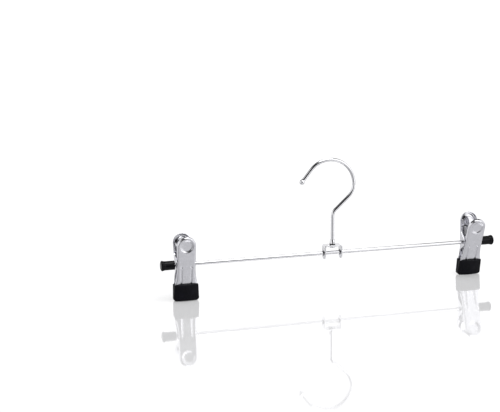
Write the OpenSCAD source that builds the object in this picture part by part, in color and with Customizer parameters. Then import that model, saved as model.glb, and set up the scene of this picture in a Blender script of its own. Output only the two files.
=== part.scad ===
// Skirt hanger with a swivel hook and two sliding spring clips on one round bar.
// X runs along the bar, -Y is the front, Z is up. The origin is where the swivel axis meets the
// inside of the hook's crown, so the closet rod carries the hanger there.

/* [Bar and end caps] */
// Length over the end caps
overall_l = 308; // [240:1:420]
// Diameter of the bar
bar_d = 3.2; // [2.6:0.1:4.4]
// Length of an end cap
cap_l = 12; // [9:0.1:20]
// Rubber beyond the end of the bar
cap_end = 2; // [1:0.1:4]
// Diameter of an end cap's sleeve
cap_d = 7.9; // [6.2:0.1:9]
// Diameter of an end cap's rolled end
cap_rim_d = 9; // [8.2:0.1:11]
// Length of an end cap's rolled end
cap_rim_l = 3; // [2.4:0.1:5]
// Radius of the rolled end's two edges
cap_round = 1.15; // [0.5:0.05:1.2]

/* [Hook] */
// Diameter of the hook's wire
hook_d = 3.2; // [2.4:0.1:4.2]
// Diameter inside the crown
crown_d = 41.2; // [34:0.2:60]
// Distance of the crown's centre to the left of the swivel axis
crown_shift = 2.9; // [0:0.1:5]
// Height from the bar's axis to the rod seat
drop = 81.3; // [76:0.1:120]
// Radius of the wire's centre line in the lower turn
turn_r = 16; // [11:0.5:20]
// Angle of the slanting stretch above the horizontal
slant = 42.5; // [34:0.5:60]
// Radius of the wire's centre line where the shank bends
neck_r = 7; // [4:0.5:10]
// Angle round the crown at which the free end runs straight
tip_angle = 141.5; // [125:0.5:170]
// Length of the free end's straight
tip_l = 12.7; // [5:0.1:25]
// Diameter of the ball on the free end
tip_d = 4.6; // [4.3:0.1:7]

/* [Bracket and swivel] */
// Length of the bracket along the bar
bracket_w = 16.4; // [13:0.1:26]
// Depth of the bracket across the bar
bracket_depth = 8.4; // [7:0.1:14]
// Thickness of the bracket's sheet
bracket_t = 1.2; // [0.8:0.1:1.6]
// Height of the bracket's top above the bar's axis
bracket_rise = 7.3; // [5.2:0.1:9]
// Distance of the centre of the legs' round ends below the bar's axis
bracket_low = 1.2; // [0:0.1:3]
// Outer radius of the bracket's two bends
bracket_bend = 1.8; // [1.7:0.1:2.6]
// Diameter of the collar's foot
collar_d = 5; // [5:0.1:8]
// Diameter of the collar's top
collar_top_d = 4.3; // [4.3:0.1:4.9]
// Height of the collar
collar_h = 4.3; // [2:0.1:7]
// Height of the collar's straight foot
collar_foot = 1.2; // [0.6:0.1:1.8]
// Diameter of the upset foot that keeps the hook in
foot_d = 5.6; // [5:0.1:7]
// Height of the upset foot
foot_h = 1.2; // [0.8:0.1:1.7]

/* [Clip plates] */
// Gap between a clip and its end cap
clip_gap = 1.1; // [0.5:0.1:40]
// Lean of the left clip, top towards the front
left_lean = -3.7; // [-20:0.1:20]
// Lean of the right clip, top towards the front
right_lean = 8.4; // [-20:0.1:20]
// Width of a plate at its waist and round its head
plate_w = 16.2; // [15:0.1:17.6]
// Thickness of a plate
plate_t = 0.8; // [0.7:0.1:1.2]
// Angle of each plate from the clip's middle
plate_lean = 12.3; // [10:0.1:14]
// Distance from the bar's axis to a plate's outer face
waist_out = 6.6; // [6.2:0.1:7.4]
// Height of the finger pad's centre above the waist
pad_up = 17.3; // [15:0.1:24]
// Diameter of the finger pad
pad_d = 11.2; // [8:0.1:11.8]
// Depth of the finger pad
pad_depth = 0.8; // [0.3:0.1:0.9]
// Depth of the rim round the head, over the plate's outer face
rim_depth = 3; // [2:0.1:3.2]
// Height of the rim's lower ends above the waist
rim_from = 5; // [4.6:0.1:8]
// Width of a plate above the cover
jaw_w = 20; // [18:0.1:20.4]
// Distance down the plate at which the jaw starts to flare
flare_from = 2; // [1:0.1:8]
// Distance down the plate to its bend at the cover
shoulder = 17.4; // [14:0.1:18]
// Width of the tongue inside the cover
tongue_w = 19; // [16:0.1:19.4]
// Length of the tongue inside the cover
tongue_l = 11.2; // [8:0.1:11.8]
// Radius of an ear round the bar
ear_r = 4.2; // [3.4:0.1:4.6]
// Height of the ears' upper roots above the waist
ear_top = 8.2; // [6.4:0.1:9]
// Distance of the outer ears' lower roots below the waist
outer_ear_low = 9; // [7.6:0.1:9.6]
// Distance of the inner ears' lower roots below the waist
inner_ear_low = 6.6; // [6:0.1:7.2]
// Side gap between the nested ears
ear_gap = 0.3; // [0.2:0.05:0.6]
// Distance of the dimples and grooves from the plate's middle
dimple_x = 4.3; // [3:0.1:5.4]
// Radius of a dimple
dimple_r = 0.9; // [0.6:0.1:1.2]
// Radius of a groove's section
groove_r = 1.3; // [0.8:0.1:1.8]
// Depth of a groove or dimple
groove_depth = 0.35; // [0.2:0.05:0.5]

/* [Jaw covers] */
// Height of a cover
cover_h = 14.3; // [12.5:0.1:20]
// Width of a cover's top
cover_top_w = 21; // [20.6:0.1:24]
// Width of a cover's bottom
cover_low_w = 22.3; // [21.4:0.1:26]
// Rubber in front of the tongue at the middle of the cover's top
cover_wall = 2.5; // [1.8:0.1:3]
// Angle of each cover's outer face from the clip's middle
cover_lean = 5.4; // [0:0.1:8]
// Radius of the cover's outer face in plan
cover_r = 34; // [30:1:60]
// Radius of the cover's lower corners
corner_r = 2.4; // [0.6:0.1:4]
// Gap between the closed covers
jaw_gap = 0.24; // [0.1:0.02:0.6]

/* [Springs] */
// Diameter of the spring's wire
spring_d = 1.2; // [0.8:0.05:1.3]
// Full turns in the coil, beside the part turn between the legs
spring_turns = 4; // [3:1:4]
// Advance of the coil for each turn
spring_pitch = 1.75; // [1.72:0.01:2]
// Gap between the coil and the bar
coil_gap = 0.35; // [0.25:0.05:0.45]
// Distance of the legs' ends above the bar's axis, along the plate
leg_up = 14; // [12:0.1:20]
// Gap between a leg and its plate
leg_gap = 0.15; // [0.1:0.05:0.5]

/* [Fits] */
// Gap round the bar in what is fixed on it
fixed_gap = 0.03; // [0.01:0.01:0.1]
// Gap round the bar in the ears
pivot_gap = 0.08; // [0.03:0.01:0.1]
// Gap round the shank in the bracket
swivel_gap = 0.08; // [0.03:0.01:0.1]
// Gap above and below the bracket's top at the swivel
swivel_play = 0.15; // [0.05:0.01:0.3]
// Gap round the tongue in its cover
tongue_gap = 0.05; // [0.02:0.01:0.15]

/* [Hidden] */
$fn = 96;
left = -1;
right = 1;

hook_r = hook_d / 2;
crown_r = crown_d / 2 + hook_r;
crown_c = [-crown_shift, -sqrt(pow(crown_d / 2, 2) - pow(crown_shift, 2))];
turn_c = crown_c + [crown_r - turn_r, 0];
turn_end = turn_c + turn_r * [sin(slant), -cos(slant)];
neck_corner = turn_end.y - turn_end.x * tan(slant);
neck_run = neck_r * tan((90 - slant) / 2);
neck_c = [neck_r, neck_corner - neck_run];
neck_end = neck_c + neck_r * [-sin(slant), cos(slant)];
tip_start = crown_c + crown_r * [cos(tip_angle), sin(tip_angle)];
tip_end = tip_start + tip_l * [-sin(tip_angle), cos(tip_angle)];

band_over = 0.02;
band_l = 0.2;

bracket_top = -drop + bracket_rise;
foot_top = bracket_top - bracket_t - swivel_play;
bar_l = overall_l - 2 * cap_end;

clip_x = overall_l / 2 - cap_l - clip_gap - plate_w / 2;
pivot_y = waist_out * cos(plate_lean);
pivot_z = -waist_out * sin(plate_lean);
shoulder_y = -waist_out + shoulder * sin(plate_lean);
shoulder_z = -shoulder * cos(plate_lean);
cover_low = shoulder_z - cover_h;
flare_side = (jaw_w - plate_w) / 2;
flare_r = (pow(shoulder - flare_from, 2) + pow(flare_side, 2)) / (2 * flare_side);
outer_ear_x = plate_w / 2 - plate_t;
inner_ear_x = outer_ear_x - ear_gap - plate_t;
ear_inset = 0.1;

coil_r = bar_d / 2 + coil_gap + spring_d / 2;
leg_out = pivot_y - plate_t - pad_depth - leg_gap - spring_d / 2;
leg_reach = norm([leg_out, leg_up]);
leg_lean = plate_lean + atan(leg_out / leg_up) - asin(coil_r / leg_reach);
leg_l = sqrt(pow(leg_reach, 2) - pow(coil_r, 2));
coil_sweep = 180 - 2 * leg_lean + 360 * spring_turns;
coil_steps = round(coil_sweep / 45);
coil_l = spring_pitch * coil_sweep / 360;

chrome = [0.80, 0.80, 0.82];
steel = [0.55, 0.55, 0.57];
black = [0.05, 0.05, 0.055];

function unit(v) = v / norm(v);

// Lays a drawing in X and Y upright in X and Z
module upright() {
    rotate([90, 0, 0]) children();
}

// Lays an upright sheet of the given thickness from y = 0 towards the back
module sheet(thickness) {
    translate([0, thickness, 0]) upright() linear_extrude(thickness) children();
}

// Turns a solid made along Z to lie along X
module along_bar() {
    rotate([0, 90, 0]) children();
}

module wire_arc(centre, radius, from, to) {
    translate(centre) rotate(from) rotate_extrude(angle = to - from)
        translate([radius, 0]) circle(d = hook_d);
}

module wire_straight(from, to) {
    run = to - from;
    translate(from) rotate(atan2(run.y, run.x)) along_bar() cylinder(d = hook_d, h = norm(run));
}

// A band a hair thicker than the wire, round the place where two of its stretches meet
module wire_band(at, angle) {
    translate(at) rotate(angle) along_bar() cylinder(d = hook_d + band_over, h = band_l, center = true);
}

module hook_wire() {
    color(chrome) {
        upright() {
            wire_straight([0, foot_top - foot_h / 2], [0, neck_c.y]);
            wire_band([0, neck_c.y], 90);
            wire_arc(neck_c, neck_r, 90 + slant, 180);
            wire_band(neck_end, slant);
            wire_straight(neck_end, turn_end);
            wire_band(turn_end, slant);
            wire_arc(turn_c, turn_r, slant - 90, 0);
            wire_band(crown_c + [crown_r, 0], 90);
            wire_arc(crown_c, crown_r, 0, tip_angle);
            wire_band(tip_start, tip_angle - 90);
            wire_straight(tip_start, tip_end);
            translate(tip_end) sphere(d = tip_d);
        }
        translate([0, 0, foot_top - foot_h]) cylinder(d = foot_d, h = foot_h);
    }
}

module swivel_collar() {
    color(chrome) translate([0, 0, bracket_top + swivel_play]) rotate_extrude()
        polygon([
            [hook_r + fixed_gap, 0],
            [collar_d / 2, 0],
            [collar_d / 2, collar_foot],
            [collar_top_d / 2, collar_h],
            [hook_r + fixed_gap, collar_h]
        ]);
}

// The saddle's outline from the front, open at the bottom
module saddle_outline(w, top, bend) {
    bottom = bracket_low + bracket_depth;
    translate([-w / 2, -bottom]) square([w, bottom + top - bend]);
    translate([-w / 2 + bend, -bottom]) square([w - 2 * bend, bottom + top]);
    for (side = [left, right])
        translate([side * (w / 2 - bend), top - bend]) circle(r = bend);
}

module bracket() {
    color(chrome) translate([0, 0, -drop]) difference() {
        intersection() {
            translate([0, -bracket_depth / 2, 0]) sheet(bracket_depth) difference() {
                saddle_outline(bracket_w, bracket_rise, bracket_bend);
                saddle_outline(bracket_w - 2 * bracket_t, bracket_rise - bracket_t, bracket_bend - bracket_t);
            }
            union() {
                translate([0, 0, -bracket_low]) along_bar()
                    cylinder(d = bracket_depth, h = bracket_w, center = true);
                translate([-bracket_w / 2, -bracket_depth / 2, -bracket_low])
                    cube([bracket_w, bracket_depth, bracket_low + bracket_rise]);
            }
        }
        along_bar() cylinder(r = bar_d / 2 + fixed_gap, h = bracket_w + 2, center = true);
        cylinder(r = hook_r + swivel_gap, h = bracket_rise + 1);
    }
}

module bar() {
    color(chrome) translate([0, 0, -drop]) along_bar() cylinder(d = bar_d, h = bar_l, center = true);
}

// The cap's outline from its axis, with its open end at y = 0
module cap_outline() {
    rim_r = cap_rim_d / 2;
    square([cap_d / 2, cap_l - cap_rim_l]);
    translate([0, cap_l - cap_rim_l]) square([rim_r - cap_round, cap_rim_l]);
    for (y = [cap_l - cap_rim_l + cap_round, cap_l - cap_round])
        translate([rim_r - cap_round, y]) circle(r = cap_round);
    translate([0, cap_l - cap_rim_l + cap_round]) square([rim_r, cap_rim_l - 2 * cap_round]);
}

module end_cap(side) {
    bore_r = bar_d / 2 + fixed_gap;
    color(black) translate([side * (overall_l / 2 - cap_l), 0, -drop]) rotate([0, side * 90, 0])
        rotate_extrude() difference() {
            cap_outline();
            translate([-1, -1]) square([bore_r + 1, cap_l - cap_end + 1]);
        }
}

// Puts what is made at a clip's pivot in its place on the bar
module at_clip(side) {
    translate([side * clip_x, 0, -drop]) rotate([side == left ? left_lean : right_lean, 0, 0]) children();
}

// Turns what is made for a clip's front to its rear
module rear() {
    rotate(180) children();
}

// A plate's outline from the front, with the waist at y = 0
module plate_outline(inset) {
    half = plate_w / 2 - inset;
    translate([0, pad_up]) circle(r = half);
    translate([-half, -flare_from]) square([2 * half, pad_up + flare_from]);
}

module jaw_outline() {
    difference() {
        translate([-jaw_w / 2, -shoulder]) square([jaw_w, shoulder - flare_from]);
        for (side = [left, right])
            translate([side * (plate_w / 2 + flare_r), -flare_from]) circle(r = flare_r);
    }
}

// Puts what is made straight down from the plate's bend in line with the cover
module at_cover() {
    translate([0, shoulder_y, shoulder_z]) rotate([cover_lean, 0, 0]) children();
}

// Where a straight edge from a root ends, just inside an ear's round on the side away from the plate
function ear_touch(root, turn) =
    let (pivot = [pivot_y, pivot_z], run = root - pivot, r = ear_r - ear_inset)
    let (angle = atan2(run.y, run.x) + turn * acos(r / norm(run)))
    pivot + r * [cos(angle), sin(angle)];

// An ear's outline from the side, with the plate's outer face at x = 0
module ear_outline(low) {
    top_root = [rim_depth, ear_top];
    low_root = [2 * plate_t, -low];
    translate([pivot_y, pivot_z]) circle(r = ear_r);
    polygon([
        [plate_t / 2, -low],
        low_root,
        ear_touch(low_root, 1),
        [pivot_y, pivot_z],
        ear_touch(top_root, -1),
        top_root,
        [plate_t / 2, ear_top]
    ]);
}

// A pressed plate as the clip's front has it, with its ears' inner faces at ear_x
module plate(ear_x, ear_low) {
    difference() {
        union() {
            translate([0, -waist_out, 0]) rotate([plate_lean, 0, 0]) {
                difference() {
                    union() {
                        sheet(plate_t) plate_outline(0);
                        sheet(plate_t) jaw_outline();
                        sheet(rim_depth) difference() {
                            plate_outline(0);
                            plate_outline(plate_t);
                            translate([-plate_w, -2 * plate_w]) square([2 * plate_w, 2 * plate_w + rim_from]);
                        }
                        translate([0, 0, pad_up]) rotate([-90, 0, 0])
                            cylinder(d = pad_d + 2 * pad_depth, h = plate_t + pad_depth);
                        for (x = [-ear_x - plate_t, ear_x])
                            translate([x, 0, 0]) rotate([90, 0, 90]) linear_extrude(plate_t) ear_outline(ear_low);
                    }
                    translate([0, -1, pad_up]) rotate([-90, 0, 0]) cylinder(d = pad_d, h = 1 + pad_depth);
                    for (side = [left, right]) {
                        translate([side * dimple_x, groove_depth - dimple_r, pivot_z]) sphere(r = dimple_r);
                        translate([side * dimple_x, groove_depth - groove_r, -shoulder - 1])
                            cylinder(r = groove_r, h = shoulder + 1 + pivot_z - 2 * dimple_r);
                    }
                }
            }
            at_cover() translate([-tongue_w / 2, 0, -tongue_l])
                cube([tongue_w, plate_t, tongue_l + plate_t / 4]);
        }
        along_bar() cylinder(r = bar_d / 2 + pivot_gap, h = 2 * plate_w, center = true);
    }
}

module front_plate(side) {
    color(chrome) at_clip(side) plate(inner_ear_x, inner_ear_low);
}

module rear_plate(side) {
    color(chrome) at_clip(side) rear() plate(outer_ear_x, outer_ear_low);
}

// A cover's outline from the front
module cover_outline() {
    half = cover_low_w / 2;
    intersection() {
        polygon([
            [-cover_top_w / 2, shoulder_z],
            [cover_top_w / 2, shoulder_z],
            [half, cover_low],
            [-half, cover_low]
        ]);
        union() {
            translate([-half, cover_low + corner_r]) square([2 * half, cover_h]);
            translate([corner_r - half, cover_low]) square([2 * (half - corner_r), cover_h]);
            for (side = [left, right])
                translate([side * (half - corner_r), cover_low + corner_r]) circle(r = corner_r);
        }
    }
}

module cover() {
    depth = cover_wall - shoulder_y + 1;
    difference() {
        intersection() {
            translate([0, -depth - jaw_gap / 2, 0]) sheet(depth) cover_outline();
            at_cover() translate([0, cover_r - cover_wall, 0])
                cylinder(r = cover_r, h = 4 * cover_h, center = true);
        }
        at_cover() translate([-tongue_w / 2 - tongue_gap, -tongue_gap, -tongue_l - tongue_gap])
            cube([tongue_w + 2 * tongue_gap, plate_t + 2 * tongue_gap, cover_h]);
    }
}

module front_cover(side) {
    color(black) at_clip(side) cover();
}

module rear_cover(side) {
    color(black) at_clip(side) rear() cover();
}

// The spring's centre line: up the rear leg is the start, up the front leg is the end
function coil_angle(i) = -leg_lean - coil_sweep * i / coil_steps;
function coil_point(i) = [
    coil_l * (i / coil_steps - 0.5),
    coil_r * cos(coil_angle(i)),
    coil_r * sin(coil_angle(i))
];
function leg_point(side, run) = [
    side * coil_l / 2,
    -side * (coil_r * cos(leg_lean) + run * sin(leg_lean)),
    run * cos(leg_lean) - coil_r * sin(leg_lean)
];
function spring_line() = [
    leg_point(left, leg_l),
    leg_point(left, spring_d),
    for (i = [0:coil_steps]) coil_point(i),
    leg_point(right, spring_d),
    leg_point(right, leg_l)
];

// The direction away from the bar's axis that each ring of the tube is turned to
function spring_normals() = [
    for (i = [-2:coil_steps + 2])
        let (a = coil_angle(min(max(i, 0), coil_steps))) [0, cos(a), sin(a)]
];

function ring(line, normals, i, d, sides) =
    let (
        last = len(line) - 1,
        run = unit(line[min(i + 1, last)] - line[max(i - 1, 0)]),
        up = unit(normals[i] - (normals[i] * run) * run),
        across = cross(run, up)
    )
    [for (k = [0:sides - 1]) line[i] + d / 2 * (cos(360 * k / sides) * up + sin(360 * k / sides) * across)];

module tube(line, normals, d, sides) {
    last = len(line) - 1;
    points = [for (i = [0:last]) each ring(line, normals, i, d, sides)];
    walls = [
        for (i = [0:last - 1]) for (k = [0:sides - 1])
            let (a = i * sides + k, b = i * sides + (k + 1) % sides)
            each [[a, a + sides, b], [b, a + sides, b + sides]]
    ];
    start = [for (k = [1:sides - 2]) [0, k, k + 1]];
    end = [for (k = [1:sides - 2]) [last * sides, last * sides + k + 1, last * sides + k]];
    polyhedron(points = points, faces = concat(walls, start, end));
}

// Least distance between the surfaces of stretches of the tube that are not neighbours
function least_gap(line, d, apart) = min([
    for (i = [0:len(line) - 1 - apart]) for (j = [i + apart:len(line) - 1]) norm(line[i] - line[j])
]) - d;
echo(least_gap_in_spring = least_gap(spring_line(), spring_d, 5));

module spring(side) {
    color(steel) at_clip(side) tube(spring_line(), spring_normals(), spring_d, 6);
}

hook_wire();
swivel_collar();
bracket();
bar();
end_cap(left);  // left_end_cap
end_cap(right);  // right_end_cap
front_plate(left);  // left_front_plate
rear_plate(left);  // left_rear_plate
front_cover(left);  // left_front_cover
rear_cover(left);  // left_rear_cover
spring(left);  // left_spring
front_plate(right);  // right_front_plate
rear_plate(right);  // right_rear_plate
front_cover(right);  // right_front_cover
rear_cover(right);  // right_rear_cover
spring(right);  // right_spring
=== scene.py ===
"""Looks of the skirt hanger: its smooth pieces, finishes, floor, light and camera."""

import math

import bmesh
import bpy
from mathutils import Matrix, Vector


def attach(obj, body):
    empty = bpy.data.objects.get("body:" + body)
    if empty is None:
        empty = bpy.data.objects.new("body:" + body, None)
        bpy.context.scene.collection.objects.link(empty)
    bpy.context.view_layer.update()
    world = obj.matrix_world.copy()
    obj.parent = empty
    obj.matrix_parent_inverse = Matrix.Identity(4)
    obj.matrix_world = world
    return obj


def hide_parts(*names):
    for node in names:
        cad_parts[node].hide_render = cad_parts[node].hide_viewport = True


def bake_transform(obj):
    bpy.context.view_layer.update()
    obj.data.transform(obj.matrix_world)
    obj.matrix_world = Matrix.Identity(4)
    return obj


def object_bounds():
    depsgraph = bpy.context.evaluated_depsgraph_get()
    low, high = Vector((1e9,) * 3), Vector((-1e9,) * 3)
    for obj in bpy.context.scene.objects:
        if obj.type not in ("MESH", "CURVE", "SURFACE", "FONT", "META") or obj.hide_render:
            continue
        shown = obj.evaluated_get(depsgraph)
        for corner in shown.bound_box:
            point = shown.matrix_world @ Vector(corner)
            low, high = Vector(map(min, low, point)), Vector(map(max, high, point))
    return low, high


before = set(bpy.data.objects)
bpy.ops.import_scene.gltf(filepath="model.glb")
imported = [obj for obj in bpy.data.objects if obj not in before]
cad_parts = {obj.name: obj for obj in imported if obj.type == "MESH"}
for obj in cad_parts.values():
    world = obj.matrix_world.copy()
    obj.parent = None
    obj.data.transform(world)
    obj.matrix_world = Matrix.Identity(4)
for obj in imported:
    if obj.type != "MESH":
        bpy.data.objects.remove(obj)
cad_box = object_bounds()

MM = 0.001
LEFT, RIGHT = -1, 1
FRONT, REAR = "front", "rear"
SIDE_NAMES = {LEFT: "left", RIGHT: "right"}

# Sizes in millimetres and angles, as the solids have them
BAR_RADIUS = 1.6
BAR_LENGTH = 304.0
BAR_DROP = 81.3
OVERALL_LENGTH = 308.0
CAP_LENGTH = 12.0
CAP_END = 2.0
CAP_RADIUS = 3.95
CAP_ROLL_RADIUS = 4.48

WIRE_RADIUS = 1.6
CROWN_RADIUS = 22.2
CROWN_SHIFT = 2.9
TURN_RADIUS = 16.0
SLANT = math.radians(42.5)
NECK_RADIUS = 7.0
TIP_ANGLE = math.radians(141.5)
TIP_LENGTH = 12.7
BALL_RADIUS = 2.3

BRACKET_HALF = 8.2
BRACKET_DEPTH = 8.4
BRACKET_SHEET = 1.2
BRACKET_RISE = 7.3
BRACKET_LOW = 1.2
BRACKET_BEND = 1.8
SWIVEL_PLAY = 0.15
FOOT_RADIUS = 2.8
FOOT_HEIGHT = 1.2
COLLAR_HEIGHT = 4.3
COLLAR_RADIUS = 2.5
COLLAR_TOP_RADIUS = 2.15
COLLAR_FOOT = 1.2

CLIP_X = 132.8
CLIP_LEAN = {LEFT: math.radians(-3.7), RIGHT: math.radians(8.4)}
PLATE_HALF = 8.1
PLATE_SHEET = 0.8
PLATE_LEAN = math.radians(12.3)
WAIST_OUT = 6.6
PAD_UP = 17.3
PAD_RADIUS = 5.6
PAD_DEPTH = 0.8
RIM_DEPTH = 3.0
RIM_FROM = 5.0
JAW_HALF = 10.0
FLARE_FROM = -2.0
SHOULDER = 17.4
TONGUE_HALF = 9.5
TONGUE_LENGTH = 11.2
EAR_RADIUS = 4.2
EAR_GAP = 0.3
EAR_TOP = 8.2
OUTER_EAR_LOW = -9.0
INNER_EAR_LOW = -6.6
BORE_RADIUS = 1.68
DIMPLE_X = 4.3

COVER_HEIGHT = 14.3
COVER_TOP_HALF = 10.5
COVER_LOW_HALF = 11.15
COVER_WALL = 2.5
COVER_LEAN = math.radians(5.4)
COVER_PLAN_RADIUS = 34.0
COVER_CORNER = 2.4
JAW_GAP = 0.24

SPRING_RADIUS = 0.6
SPRING_TURNS = 4
SPRING_PITCH = 1.75
COIL_GAP = 0.35
LEG_UP = 14.0
LEG_GAP = 0.15

# Finer forms in millimetres, which the solids leave out or have plainer
SNUG = 0.03
BORDER = 0.7
BAR_CHAMFER = 0.3
FOOT_ROUND = 0.3
BALL_FILLET = 0.18
BALL_FILLET_AT = 1.75 * BALL_RADIUS
BALL_FILLET_WIDTH = 0.5
BALL_TIP = 0.02
COLLAR_ROUND = 0.15
BRACKET_EDGE = 0.35
PLATE_EDGE = 0.12
EDGE_BEND = 1.3
EDGE_RUNOUT = 3.0
RIM_CUT_BACK = 0.55
PAD_SLOPE_INSIDE = 1.6
PAD_SLOPE_OUTSIDE = 0.6
DIMPLE_RADIUS = 1.15
DIMPLE_DEPTH = 0.42
GROOVE_DEPTH = 0.42
GROOVE_HALF = 1.0
GROOVE_FROM_DIMPLE = 1.8
GROOVE_DEEPER = 0.5
PRESSING_RUNOUT = 3.0
JAW_CROWN = 0.3
JAW_CROWN_FROM = -8.0
EVEN_COLUMNS_HALF = 6.0
CAP_LIP = 0.45
CAP_RING = 1.35
COVER_TOP_ROUND = 0.5
COVER_LOW_ROUND = 0.9
COVER_SIDE_FRONT = 0.9
COVER_SIDE_BACK = 0.4
POCKET_PLAY = 0.05

# How far an edge bends before it is rounded, and how far before it shows as an edge: on hard
# pieces, on caps, and on pieces that are soft or have their edges rounded already
ROUNDED_EDGE = math.radians(50)
HARD_EDGE = math.radians(38)
CAP_EDGE = math.radians(50)
SOFT_EDGE = math.radians(60)

IMAGE_WIDTH = 500


# ---- Finishes ----


class Value:
    """A node's output. Arithmetic on one that is a number adds Math nodes."""

    def __init__(self, finish, node, output=0):
        self.finish = finish
        self.node = node
        self.socket = node.outputs[output] if node.outputs else None

    def out(self, output):
        """Another output of the same node."""
        return Value(self.finish, self.node, output)

    def _math(self, operation, first, second=0.0):
        return self.finish.add("ShaderNodeMath", {"operation": operation}, {0: first, 1: second})

    def __add__(self, other):
        return self._math("ADD", self, other)

    def __radd__(self, other):
        return self._math("ADD", other, self)

    def __sub__(self, other):
        return self._math("SUBTRACT", self, other)

    def __rsub__(self, other):
        return self._math("SUBTRACT", other, self)

    def __mul__(self, other):
        return self._math("MULTIPLY", self, other)

    def __rmul__(self, other):
        return self._math("MULTIPLY", other, self)

    def __abs__(self):
        return self._math("ABSOLUTE", self)


class Finish:
    """A node tree. Its add method makes every node in it."""

    def __init__(self, tree):
        self.tree = tree
        tree.nodes.clear()

    def add(self, kind, settings=None, sockets=None):
        """A node of a kind: its settings first, then the values or links of its sockets."""
        node = self.tree.nodes.new(kind)
        for name, value in (settings or {}).items():
            setattr(node, name, value)
        for key, value in (sockets or {}).items():
            if isinstance(value, Value):
                self.tree.links.new(value.socket, node.inputs[key])
            else:
                node.inputs[key].default_value = value
        return Value(self, node)

    def noise(self, place, scale, detail=3.0, roughness=0.5):
        """Noise from 0 to 1, with its scale counted per metre."""
        sockets = {"Vector": place, "Scale": scale, "Detail": detail, "Roughness": roughness}
        return self.add("ShaderNodeTexNoise", {}, sockets)

    def smooth(self, value, low, high, start=0.0, end=1.0):
        """A soft step from start at low to end at high, where low may be the larger one."""
        return self.add(
            "ShaderNodeMapRange",
            {"interpolation_type": "SMOOTHSTEP"},
            {"Value": value, "From Min": low, "From Max": high, "To Min": start, "To Max": end},
        )

    def parts(self, vector):
        """A vector's X, Y and Z."""
        return self.add("ShaderNodeSeparateXYZ", {}, {0: vector})

    def vector(self, operation, *vectors):
        """Arithmetic on vectors."""
        return self.add("ShaderNodeVectorMath", {"operation": operation}, dict(enumerate(vectors)))

    def bump(self, strength, distance, height):
        """Fine relief, with its distance in millimetres."""
        sockets = {"Strength": strength, "Distance": distance * MM, "Height": height}
        return self.add("ShaderNodeBump", {}, sockets)

    def blend_colours(self, mask, first, second):
        """The first colour where the mask is 0, the second where it is 1."""
        mixed = self.add("ShaderNodeMix", {"data_type": "RGBA"}, {0: mask, 6: first, 7: second})
        return mixed.out(2)


def grey(shade, tint=0.0):
    """A neutral colour, bluer where the tint is higher."""
    return (shade, shade, shade * (1.0 + tint), 1.0)


def surface(name, build):
    """A material whose Principled shader gets its sockets from build(finish, place)."""
    material = bpy.data.materials.new(name)
    material.use_nodes = True
    finish = Finish(material.node_tree)
    place = finish.add("ShaderNodeTexCoord").out("Object")
    shader = finish.add("ShaderNodeBsdfPrincipled", {}, build(finish, place))
    finish.add("ShaderNodeOutputMaterial", {}, {"Surface": shader})
    return material


def drawn_chrome(finish, place):
    """Plated drawn wire: a mirror with faint waves and hairlines left by the die."""
    waves = finish.noise(place, 90.0, 2.0)
    haze = finish.noise(place, 900.0, 4.0, 0.65)
    specks = finish.smooth(finish.noise(place, 2600.0, 2.0), 0.66, 0.74)
    colour = finish.blend_colours(waves, grey(0.72, 0.03), grey(0.82, 0.03))
    height = waves * 0.3 + haze * 0.08 - specks * 0.2
    return {
        "Base Color": finish.blend_colours(specks * 0.5, colour, grey(0.5)),
        "Metallic": 1.0,
        "Roughness": finish.smooth(haze, 0.3, 0.75, 0.02, 0.08) + specks * 0.15,
        "Normal": finish.bump(0.18, 0.08, height),
    }


def add_painted_shade(finish, coat, painted_shade):
    """A coat with painted shade on it, dark where one piece meets another."""
    # Painted shade: the coat turns near black where the mask is 1
    coat["Base Color"] = finish.blend_colours(painted_shade * 0.93, coat["Base Color"], grey(0.02))
    coat["Roughness"] = coat["Roughness"] + painted_shade * 0.2
    return coat


def collar_chrome(finish, place):
    """The wire's plating, with painted shade round the collar's foot, where it sits on the bracket."""
    height = finish.parts(place).out("Z")
    seat = -BAR_DROP + BRACKET_RISE + SWIVEL_PLAY
    uneven = height + finish.noise(place, 700.0) * (0.4 * MM)
    # A dark ring of painted shade at the collar's foot, darkest where it meets the bracket
    painted_shade = finish.smooth(uneven, (seat + 1.3) * MM, (seat + 0.9) * MM)
    return add_painted_shade(finish, drawn_chrome(finish, place), painted_shade)


def bracket_chrome(finish, place):
    """The wire's plating, with painted shade round the bar in the bracket's legs."""
    across = finish.vector("MULTIPLY_ADD", place, (0.0, 1.0, 1.0), (0.0, 0.0, BAR_DROP * MM))
    from_bar = finish.vector("LENGTH", across).out("Value")
    uneven = from_bar + finish.noise(place, 900.0) * (0.4 * MM)
    # A dark ring of painted shade round the bar, where it passes through the legs' holes
    painted_shade = finish.smooth(uneven, 3.0 * MM, 2.4 * MM)
    return add_painted_shade(finish, drawn_chrome(finish, place), painted_shade)


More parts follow.
